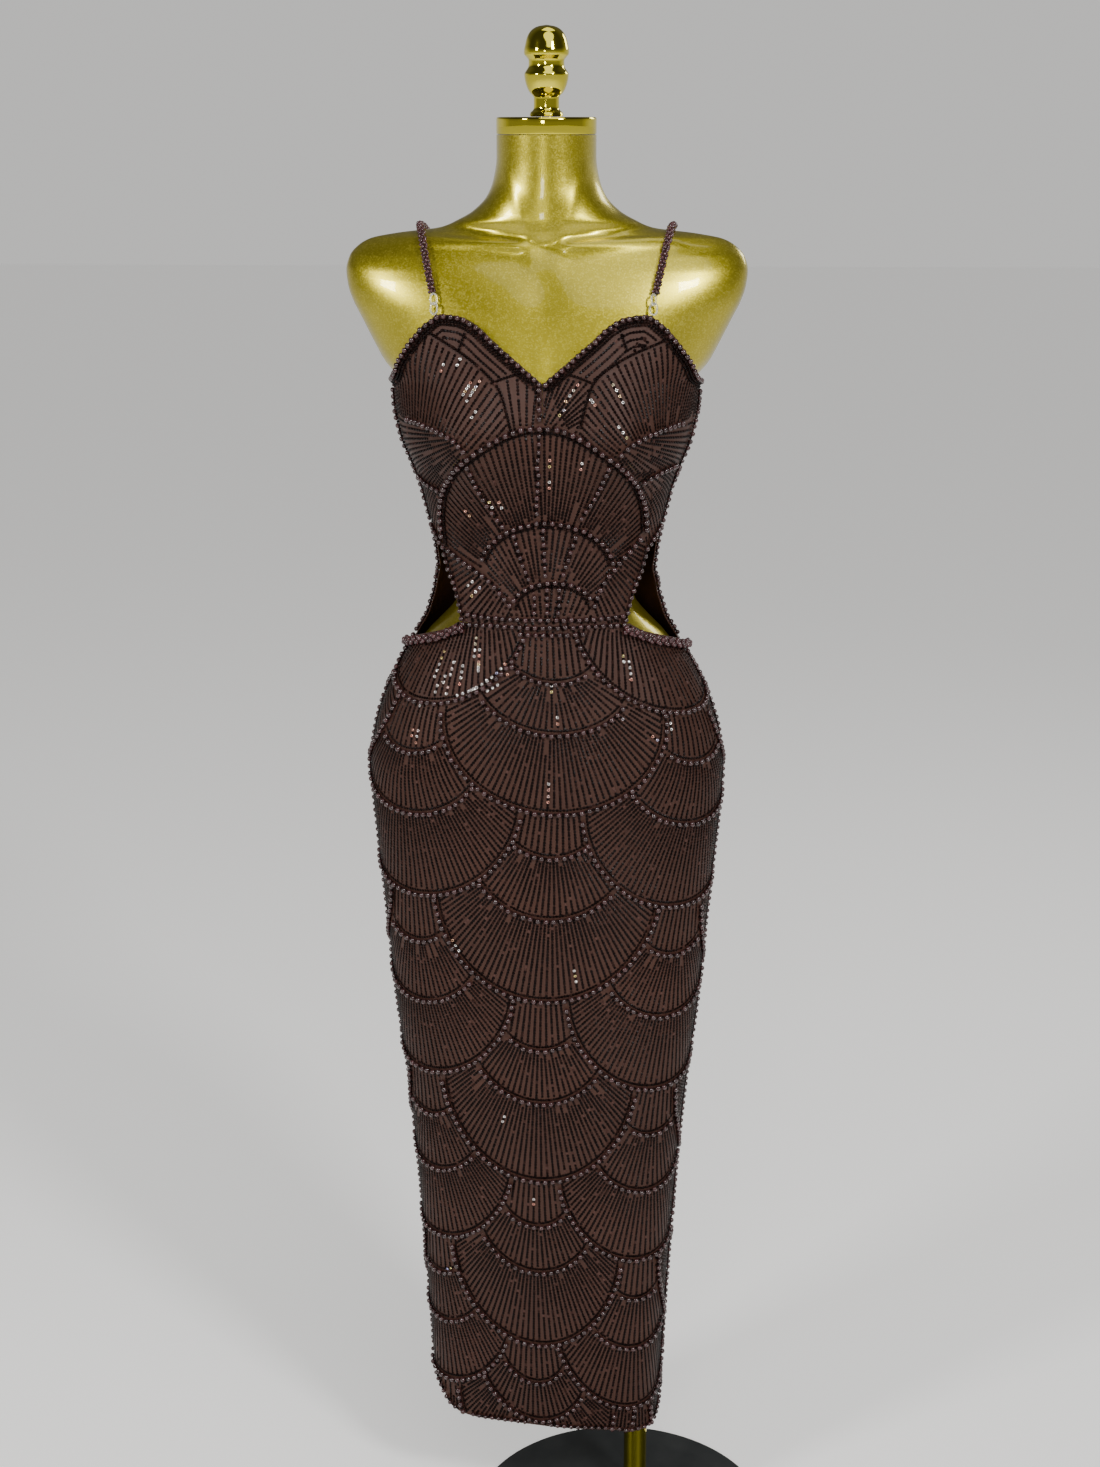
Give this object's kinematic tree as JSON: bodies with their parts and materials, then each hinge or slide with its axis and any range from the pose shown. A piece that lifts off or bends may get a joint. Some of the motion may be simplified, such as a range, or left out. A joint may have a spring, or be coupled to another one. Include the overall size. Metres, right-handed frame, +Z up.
{
  "type": "maxi dress on limbless dress form and stand",
  "caption": "Beaded, sequinned sleeveless column maxi dress with side cut-outs and rope straps, worn by a limbless dress form on a pole and a round base.",
  "frame": {"origin": "On the underside of the base disc, on the floor, under the axis of the dress form. The pole and the disc's centre lie to the side of it, as on the real stand.", "axes": "+Z up along the dress form, -Y to the front of the dress, +X to the viewer's right."},
  "size_m": [0.4324, 0.3216, 1.5576],
  "materials": {
    "beaded_mesh": "dark brown stretch mesh with sequin rows and bead-edged fans",
    "bead_pearl": "dark plum-brown pearl beads",
    "clear_plastic": "clear moulded plastic",
    "gold_paint": "glossy olive-gold metallic paint with fine flake",
    "polished_gold": "polished gold plate",
    "black_base": "matte black"
  },
  "bodies": {
    "root": {"skirt_front": "beaded_mesh", "skirt_back": "beaded_mesh", "midriff_front": "beaded_mesh", "cup_left": "beaded_mesh", "cup_right": "beaded_mesh", "bodice_back": "beaded_mesh", "band_left": "bead_pearl", "band_right": "bead_pearl", "strap_left": "bead_pearl", "strap_right": "bead_pearl", "loop_left": "clear_plastic", "loop_right": "clear_plastic", "dress_form": "gold_paint", "neck_cap": "polished_gold", "finial": "polished_gold", "pole": "polished_gold", "base": "black_base"}
  },
  "joints": []
}
